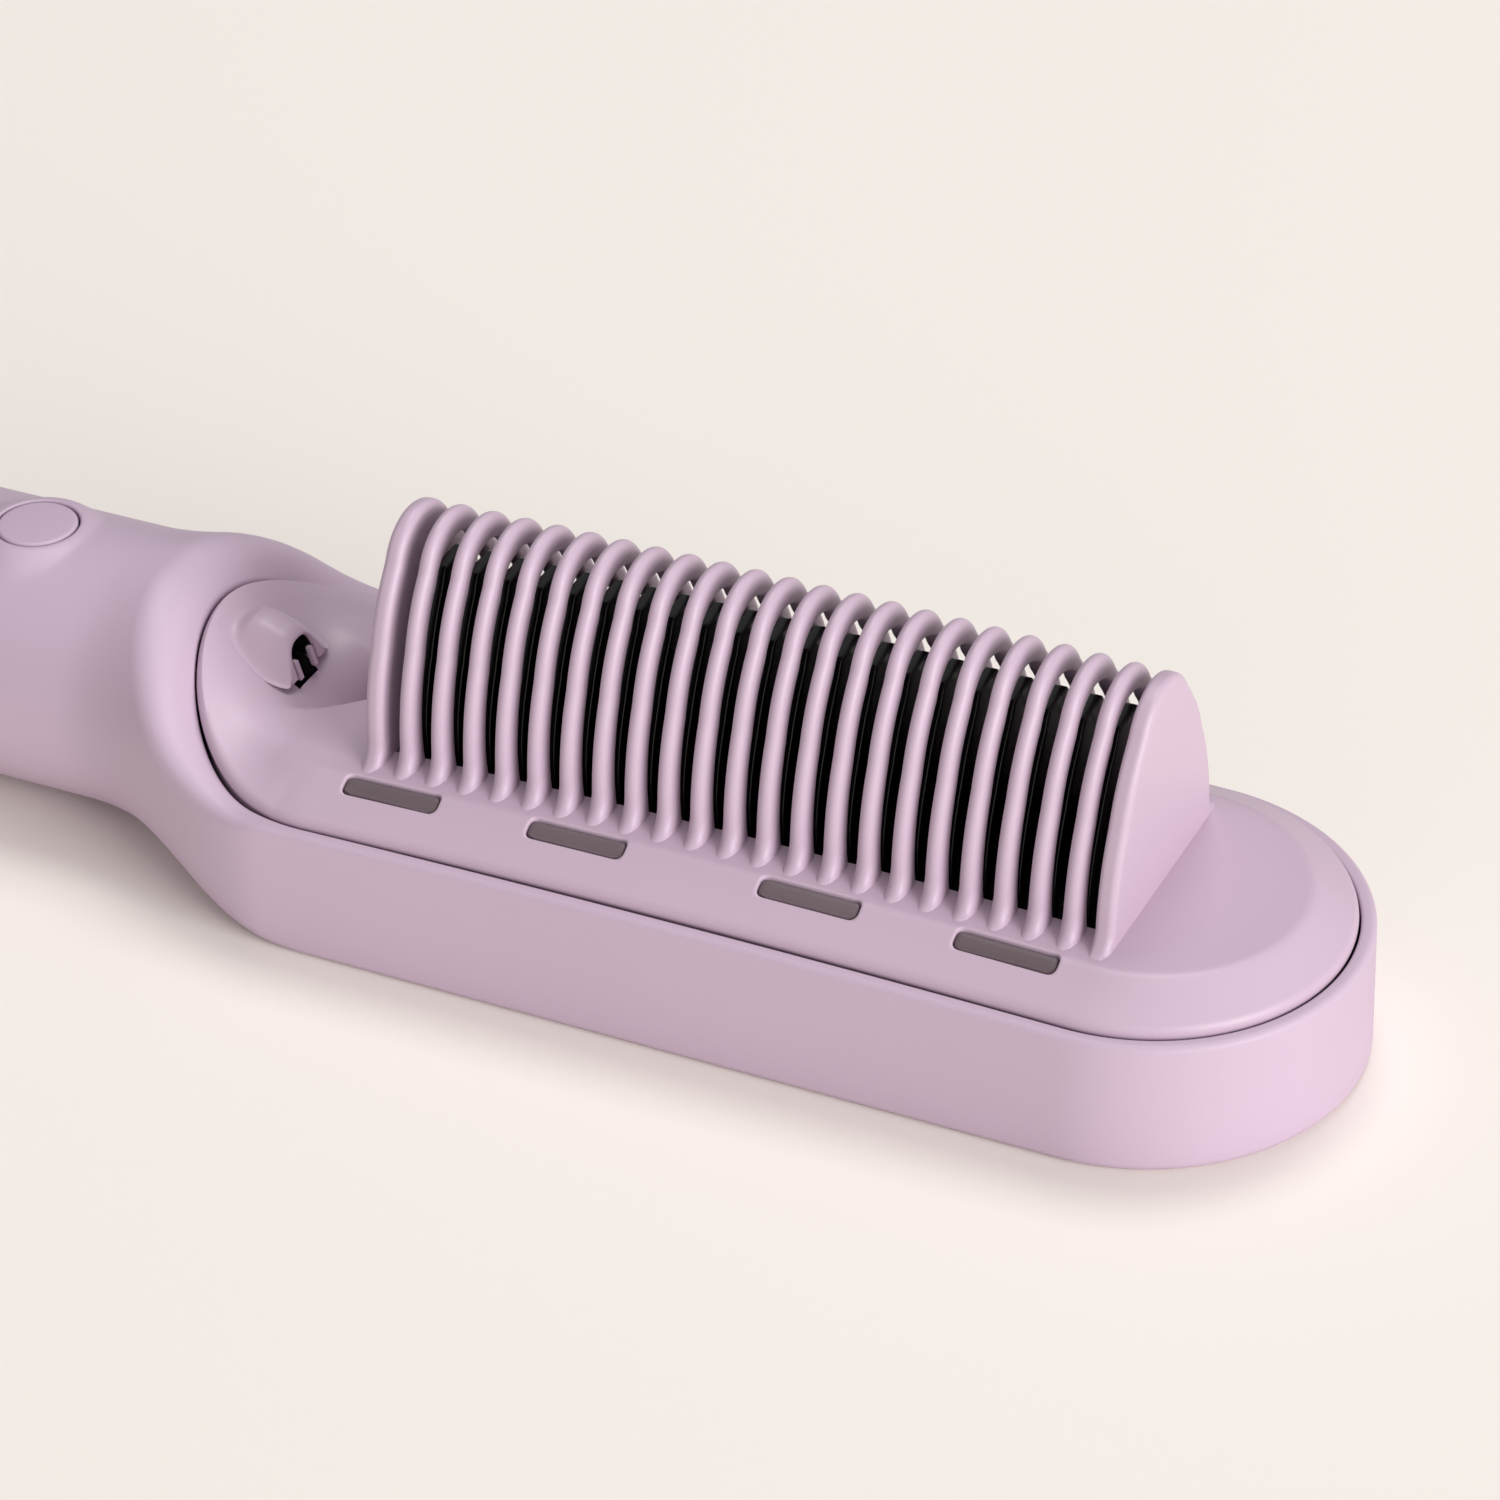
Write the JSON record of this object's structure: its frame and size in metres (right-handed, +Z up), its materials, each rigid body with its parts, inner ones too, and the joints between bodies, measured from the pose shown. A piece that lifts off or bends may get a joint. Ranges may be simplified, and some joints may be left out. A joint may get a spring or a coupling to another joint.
{
  "type": "hair straightening brush",
  "caption": "Lilac heated hair straightening brush with a ribbed comb guard over black fins, a round handle and press buttons.",
  "frame": {"origin": "on the flat underside, under the middle of the overall length and width", "axes": "+X from the cord end to the brush tip, +Z up out of the ribs"},
  "size_m": [0.283, 0.0484, 0.0461],
  "materials": {
    "soft_touch_lilac": "matte",
    "satin_lilac": "satin",
    "black_coated_comb": "gloss",
    "grey_frame": "satin",
    "steel": "satin",
    "spring_steel": "satin",
    "heater_ceramic": "matte",
    "film": "gloss",
    "glass_bead": "gloss",
    "tin": "satin",
    "mica": "satin",
    "black_plastic": "matte",
    "white_nylon": "matte",
    "board": "gloss",
    "led_white": "gloss",
    "clear_acrylic": "gloss",
    "yellow_plastic": "gloss",
    "green_plastic": "matte",
    "swivel_nylon": "satin"
  },
  "bodies": {
    "housing": {"main_housing": "soft_touch_lilac", "comb_cover": "satin_lilac", "end_cap": "soft_touch_lilac", "heating_comb": "black_coated_comb", "heater_frame": "grey_frame", "frame_screws": "steel", "cover_screws": "steel", "cap_screws": "steel", "board_screws": "steel", "pressure_screws": "steel", "pressure_plate": "spring_steel", "ptc_heaters": "heater_ceramic", "insulation_film": "film", "thermistor": "glass_bead", "thermal_fuse": "tin", "heat_shield": "mica", "ion_emitter": "black_plastic", "ion_generator": "black_plastic", "pcb_carrier": "white_nylon", "control_board": "board", "tact_switches": "black_plastic", "status_leds": "led_white", "light_guide": "clear_acrylic", "microcontroller": "black_plastic", "film_capacitor": "yellow_plastic", "triac": "black_plastic", "terminal_block": "green_plastic"},
    "ion_key": {"ion_button": "soft_touch_lilac", "ion_plunger": "black_plastic"},
    "power_key": {"power_button": "soft_touch_lilac", "power_plunger": "black_plastic"},
    "plus_key": {"plus_button": "soft_touch_lilac", "plus_plunger": "black_plastic"},
    "minus_key": {"minus_button": "soft_touch_lilac", "minus_plunger": "black_plastic"},
    "cord_end": {"cord_swivel": "swivel_nylon", "swivel_clip": "spring_steel"}
  },
  "joints": [
    {"name": "ion_press", "type": "slide", "parent": "housing", "child": "ion_key", "axis": [0, 0, 1], "range_m": [-0.0006, 0], "stiffness_N_per_m": 1500, "springref_m": 0.0002},
    {"name": "power_press", "type": "slide", "parent": "housing", "child": "power_key", "axis": [0, 0, 1], "range_m": [-0.0006, 0], "stiffness_N_per_m": 1500, "springref_m": 0.0002},
    {"name": "plus_press", "type": "slide", "parent": "housing", "child": "plus_key", "axis": [0, 0, 1], "range_m": [-0.0006, 0], "stiffness_N_per_m": 1500, "springref_m": 0.0002},
    {"name": "minus_press", "type": "slide", "parent": "housing", "child": "minus_key", "axis": [0, 0, 1], "range_m": [-0.0006, 0], "stiffness_N_per_m": 1500, "springref_m": 0.0002},
    {"name": "cord_turn", "type": "hinge", "parent": "housing", "child": "cord_end", "pos_m": [-0.1345, 0, 0.0146], "axis": [1, 0, 0], "continuous": true}
  ]
}
